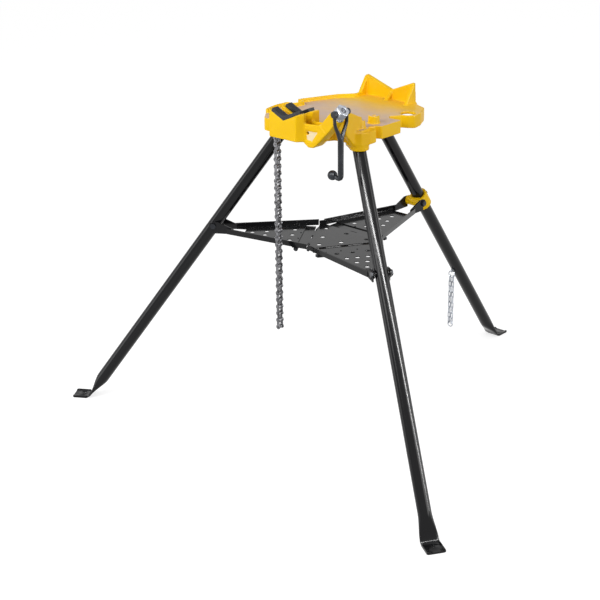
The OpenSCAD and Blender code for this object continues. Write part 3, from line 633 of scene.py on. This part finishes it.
class STAND_OT_casting(Operator):
    """Make the cast table and the collar with softened edges"""
    bl_idname = "stand.casting"
    bl_label = "Castings"

    def execute(self, context):
        softened("table_casting", copy_of("base_casting"), "base_casting", 1.7 * MM, 3)
        softened("collar_casting", copy_of("rear_leg_collar"), "rear_leg_collar", 1.0 * MM, 4)
        return {"FINISHED"}


# Half of the crank's fork from its eye down, in millimetres: out from the middle, down from
# the eye, half width along X, and half width across
FORK_ARM = (
    (22.25, -2, 5, 2.75), (22.25, 14, 5, 2.75), (21.6, 25, 5, 3.2), (17.5, 35, 5, 3.8),
    (11.5, 46, 5.2, 4.4), (5.5, 57, 5.8, 5), (1.2, 68, 6.6, 6), (0, 80, 7.2, 6.8),
)
FORK_MIDDLE, FORK_HALF, FORK_EYE = 22.25, 2.75, 9
# The crank's shank, as distance down from the eyes and radius, and its bent end, as distance
# towards the ball, distance down and radius
SHANK = ((58, 6.5), (70, 7.4), (90, 7.5), (120, 7.3), (150, 7.4), (158, 7.2))
BENT_END = ((1.5, 162, 6.9), (6, 164.6, 6.4), (12, 164.2, 6.0), (18, 161.5, 5.6))


def crank_shape():
    """The forged crank: two eyes, a fork of round arms, a shank and a bent end."""
    shape = bmesh.new()
    x, y, z = NUT
    across = (1, 0, 0)
    for side in (-1, 1):
        path = [((x, y + side * out * MM, z - low * MM), across, wide * MM, thick * MM)
                for out, low, wide, thick in FORK_ARM]
        rod_along(shape, path)
        eye = [((x, y + side * (FORK_MIDDLE + d) * MM, z), across, FORK_EYE * MM, FORK_EYE * MM)
               for d in (-FORK_HALF, FORK_HALF)]
        rod_along(shape, eye, 28)
    path = [((x, y, z - low * MM), across, r * MM, r * MM) for low, r in SHANK]
    path += [((x - d * MM, y, z - low * MM), (1, 0, 1), r * MM, r * MM)
             for d, low, r in BENT_END]
    rod_along(shape, path)
    return shape


class STAND_OT_forgings(Operator):
    """Make the crank, the nut and the jaws with softened edges"""
    bl_idname = "stand.forgings"
    bl_label = "Forgings"

    def execute(self, context):
        softened("crank_forging", crank_shape(), "crank_handle", 0.8 * MM, 6)
        softened("nut_forging", copy_of("chain_nut"), "chain_nut", 0.7 * MM, 3)
        for jaw in ("front_jaw", "rear_jaw"):
            eased(f"{jaw}_forging", copy_of(jaw), jaw, 0.5 * MM)
        return {"FINISHED"}


class STAND_OT_finishes(Operator):
    """Give every node of the stand its finish"""
    bl_idname = "stand.finishes"
    bl_label = "Finishes"

    def execute(self, context):
        for name, obj in NODES.items():
            obj.data.materials.clear()
            obj.data.materials.append(finish(slot_of(name)))
        for name in NODES:
            if name.endswith(BLACKENED):
                NODES[name].data.materials[0] = finish("black_iron")
        return {"FINISHED"}


# ---- stage ----

def add_camera():
    """A camera that looks down at the stand from one side."""
    s = stage_sizes()
    side, down = s.camera_side, s.camera_down
    ahead = Vector((-math.sin(side), math.cos(side), 0))
    across = Vector((math.cos(side), math.sin(side), 0))
    place = Vector((0, AXIS_Y, s.camera_height)) - ahead * s.camera_distance
    ahead = ahead * math.cos(s.camera_pan) + across * math.sin(s.camera_pan)
    across = ahead.cross(Vector((0, 0, 1)))
    ahead = ahead * math.cos(down) - Vector((0, 0, 1)) * math.sin(down)
    up = across.cross(ahead)
    turn = Matrix((across, up, -ahead)).transposed().to_4x4()
    camera = bpy.data.objects.new("Camera", bpy.data.cameras.new("Camera"))
    camera.data.lens = s.lens
    camera.data.sensor_width = 36
    camera.data.clip_end = 50
    camera.matrix_world = Matrix.Translation(place) @ turn @ Matrix.Rotation(s.camera_roll, 4, "Z")
    bpy.context.scene.collection.objects.link(camera)
    bpy.context.scene.camera = camera


# Lamps, placed from the stand's centre line: name, place, size and watts
LAMPS = (
    ("Key", (-0.3, -1.9, 1.9), (1.3, 1.3), 30),
    ("Side", (3.4, 0.6, 1.8), (1.6, 1.6), 36),
)
# Lamps that only show as reflections: name, start, end, width and watts
GLINTS = (
    ("Left band", (-2.0, -2.0, -0.3), (-2.0, -2.0, 2.7), 1.1, 26),
    ("Right band", (2.2, 2.0, -0.3), (2.2, 2.0, 2.7), 1.0, 26),
    ("Leg line", (-0.28, -2.56, 2.45), (2.45, 1.28, 0.7), 0.1, 130),
)
FACED_HEIGHT = 0.6


def add_lamp(name, place, size, power):
    """A rectangular lamp that faces the stand."""
    lamp = bpy.data.objects.new(name, bpy.data.lights.new(name, "AREA"))
    lamp.data.shape = "RECTANGLE"
    lamp.data.size, lamp.data.size_y = size
    lamp.data.energy = power
    away = Vector(place) - Vector((0, 0, FACED_HEIGHT))
    lamp.rotation_euler = away.to_track_quat("Z", "Y").to_euler()
    lamp.location = Vector(place) + Vector((0, AXIS_Y, 0))
    bpy.context.scene.collection.objects.link(lamp)
    return lamp


def add_glint(name, start, end, width, power):
    """A long lamp from start to end that is only seen as a reflection."""
    start, end = Vector(start), Vector(end)
    lamp = add_lamp(name, (start + end) / 2, (width, (end - start).length), power)
    along = (end - start).normalized()
    away = lamp.location - Vector((0, AXIS_Y, FACED_HEIGHT))
    away = (away - along * away.dot(along)).normalized()
    lamp.rotation_euler = Matrix((along.cross(away), along, away)).transposed().to_euler()
    lamp.visible_diffuse = False
    lamp.visible_camera = False


def seen_share(tree):
    """1 where the camera, a mirror or a glass looks, and 0 for light that only lands."""
    path = tree.nodes.new("ShaderNodeLightPath")
    total = path.outputs["Is Camera Ray"]
    for name in ("Is Glossy Ray", "Is Transmission Ray"):
        add = tree.nodes.new("ShaderNodeMath")
        add.operation = "MAXIMUM"
        tree.links.new(total, add.inputs[0])
        tree.links.new(path.outputs[name], add.inputs[1])
        total = add.outputs[0]
    return total


def light_world():
    """A white surrounding that lights the stand at half the strength that it shows."""
    world = bpy.data.worlds.new("Studio")
    world.use_nodes = True
    bpy.context.scene.world = world
    tree = world.node_tree
    soft = tree.nodes["Background"]
    soft.inputs["Color"].default_value = (1, 1, 1, 1)
    soft.inputs["Strength"].default_value = 0.5
    white = tree.nodes.new("ShaderNodeBackground")
    white.inputs["Strength"].default_value = 1.0
    white.inputs["Color"].default_value = (1, 1, 1, 1)
    blend = tree.nodes.new("ShaderNodeMixShader")
    tree.links.new(seen_share(tree), blend.inputs["Fac"])
    tree.links.new(soft.outputs["Background"], blend.inputs[1])
    tree.links.new(white.outputs["Background"], blend.inputs[2])
    tree.links.new(blend.outputs["Shader"], tree.nodes["World Output"].inputs["Surface"])


def add_floor():
    """A white floor that still takes a faint shadow."""
    shape = bmesh.new()
    bmesh.ops.create_grid(shape, x_segments=1, y_segments=1, size=12)
    mesh = bpy.data.meshes.new("Floor")
    shape.to_mesh(mesh)
    shape.free()
    floor = bpy.data.objects.new("Floor", mesh)
    bpy.context.scene.collection.objects.link(floor)
    s = Shader("Floor", (0.5, 0.5, 0.5), 0.9, specular=0.0)
    s.bsdf.inputs["Emission Color"].default_value = (1, 1, 1, 1)
    s.join(s.maths("MULTIPLY", seen_share(s.tree), 0.74), s.bsdf.inputs["Emission Strength"])
    mesh.materials.append(s.material)


class STAND_OT_stage(Operator):
    """Set up the floor, the lamps and the camera"""
    bl_idname = "stand.stage"
    bl_label = "Stage"

    def execute(self, context):
        context.scene.view_settings.view_transform = "Standard"
        add_floor()
        light_world()
        for lamp in LAMPS:
            add_lamp(*lamp)
        for glint in GLINTS:
            add_glint(*glint)
        add_camera()
        return {"FINISHED"}


class STAND_PT_panel(Panel):
    """Lists the stand's steps"""
    bl_label = "Pipe Stand"
    bl_space_type = "VIEW_3D"
    bl_region_type = "UI"
    bl_category = "Pipe Stand"

    def draw(self, context):
        for step in STEPS:
            self.layout.operator(step.bl_idname)


STEPS = (STAND_OT_stage, STAND_OT_finishes, STAND_OT_casting, STAND_OT_forgings, STAND_OT_legs,
         STAND_OT_tray)
CLASSES = (StandColours, StageSizes, *STEPS, STAND_PT_panel)


def register():
    for cls in CLASSES:
        bpy.utils.register_class(cls)
    bpy.types.Scene.stand_colours = PointerProperty(type=StandColours)
    bpy.types.Scene.stand_stage = PointerProperty(type=StageSizes)


def unregister():
    del bpy.types.Scene.stand_stage
    del bpy.types.Scene.stand_colours
    for cls in reversed(CLASSES):
        bpy.utils.unregister_class(cls)


def main():
    register()
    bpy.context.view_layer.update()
    for step in STEPS:
        group, name = step.bl_idname.split(".")
        getattr(getattr(bpy.ops, group), name)()


if __name__ == "__main__":
    main()
